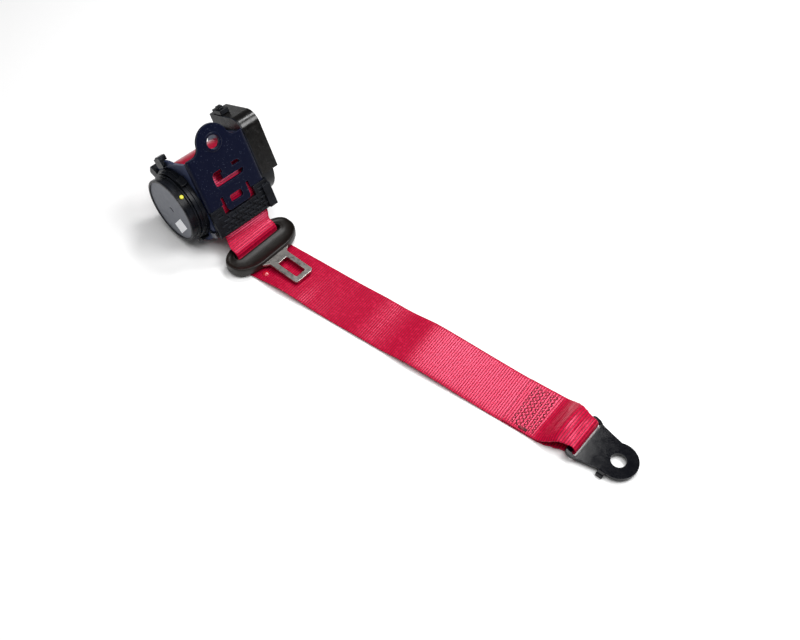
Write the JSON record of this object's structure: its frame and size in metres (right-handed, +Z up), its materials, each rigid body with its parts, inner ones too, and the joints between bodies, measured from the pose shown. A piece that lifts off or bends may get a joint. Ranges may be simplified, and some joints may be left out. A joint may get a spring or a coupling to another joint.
{
  "type": "inertia reel seat belt",
  "caption": "Inertia-reel seat belt: steel-framed retractor, wound webbing, latch tongue, stop button, lap belt with a sewn end loop and a bolt-down anchor plate.",
  "frame": {"origin": "middle of the bounding box on the table plane that the laid-out belt rests on", "axes": "+X along the laid belt from the retractor to the anchor plate, +Z up from the table"},
  "size_m": [0.4902, 0.1053, 0.1115],
  "materials": {
    "navy_painted_steel": "satin electrocoat",
    "black_painted_steel": "gloss electrocoat",
    "belt_webbing": "woven polyester",
    "belt_thread": "bonded polyester thread",
    "black_moulding": "fine texture",
    "gloss_moulding": "polished mould",
    "grey_moulding": "satin",
    "dark_grip": "fine leather texture",
    "white_acetal": "moulded",
    "plain_label": "plain film",
    "yellow_plug": "moulded",
    "red_button": "moulded",
    "plated_steel": "satin nickel",
    "zinc_steel": "zinc plated",
    "spring_steel": "oiled",
    "die_cast": "as cast",
    "brass": "turned"
  },
  "bodies": {
    "retractor_and_belt": {"frame": "navy_painted_steel", "side_plates": "navy_painted_steel", "frame_rivets": "zinc_steel", "tie_bar": "black_painted_steel", "web_guide": "black_moulding", "guide_clip": "grey_moulding", "bush_spring_side": "white_acetal", "bush_lock_side": "white_acetal", "spring_case": "black_moulding", "clock_spring": "spring_steel", "spring_cover": "grey_moulding", "cover_label": "plain_label", "marker_plug": "yellow_plug", "case_clips": "black_moulding", "pawl_pin": "zinc_steel", "pawl_spring": "spring_steel", "lock_cover": "black_moulding", "lock_cover_screws": "zinc_steel", "sensor_cover": "gloss_moulding", "cover_latch": "black_moulding", "sensor_housing": "black_moulding", "lever_pin": "zinc_steel", "webbing_feed": "belt_webbing", "webbing_lap": "belt_webbing", "webbing_loop": "belt_webbing", "stitching": "belt_thread", "stop_button": "red_button", "stop_stud": "red_button"},
    "reel": {"spool": "die_cast", "torsion_bar": "zinc_steel", "webbing_pin": "zinc_steel", "webbing_roll": "belt_webbing", "ratchet_wheel": "zinc_steel", "clutch_disc": "white_acetal", "spring_arbor": "white_acetal"},
    "inertia_ring": {"inertia_ring": "brass"},
    "lock_pawl": {"lock_pawl": "zinc_steel"},
    "sensor_ball": {"sensor_ball": "zinc_steel"},
    "sensor_lever": {"sensor_lever": "white_acetal"},
    "tongue": {"tongue_plate": "plated_steel", "tongue_cover": "dark_grip"},
    "anchor": {"anchor_plate": "black_painted_steel"}
  },
  "joints": [
    {"name": "reel_spin", "type": "hinge", "parent": "retractor_and_belt", "child": "reel", "pos_m": [-0.19684, -0.00142, 0.03678], "axis": [0.165, 0.9863, 0], "continuous": true},
    {"name": "inertia_ring_slip", "type": "hinge", "parent": "reel", "child": "inertia_ring", "pos_m": [-0.19007, 0.03902, 0.03678], "axis": [0.165, 0.9863, 0], "range_deg": [-12, 12], "stiffness_Nm_per_rad": 0.002},
    {"name": "lock_pawl_swing", "type": "hinge", "parent": "retractor_and_belt", "child": "lock_pawl", "pos_m": [-0.17423, -0.0052, 0.02585], "axis": [-0.165, -0.9863, 0], "range_deg": [0, 11], "stiffness_Nm_per_rad": 0.01, "springref_deg": -17.19},
    {"name": "sensor_ball_roll", "type": "slide", "parent": "retractor_and_belt", "child": "sensor_ball", "axis": [0.409, -0.0684, -0.91], "range_m": [0, 0.0016]},
    {"name": "sensor_lever_lift", "type": "hinge", "parent": "retractor_and_belt", "child": "sensor_lever", "pos_m": [-0.19311, 0.03801, 0.07748], "axis": [-0.165, -0.9863, 0], "range_deg": [0, 9]},
    {"name": "tongue_tilt", "type": "hinge", "parent": "retractor_and_belt", "child": "tongue", "pos_m": [-0.14883, -0.01306, 0.002], "axis": [-0.0958, -0.9954, 0], "range_deg": [0, 40], "deforming": ["webbing_feed"]},
    {"name": "anchor_swivel", "type": "hinge", "parent": "retractor_and_belt", "child": "anchor", "pos_m": [0.19422, -0.02022, 0.00678], "axis": [-0.0698, -0.9976, 0], "range_deg": [0, 75]}
  ],
  "couplings": [
    {"joint": "sensor_lever_lift", "follows": "sensor_ball_roll", "rad_per_m": 98.175}
  ]
}
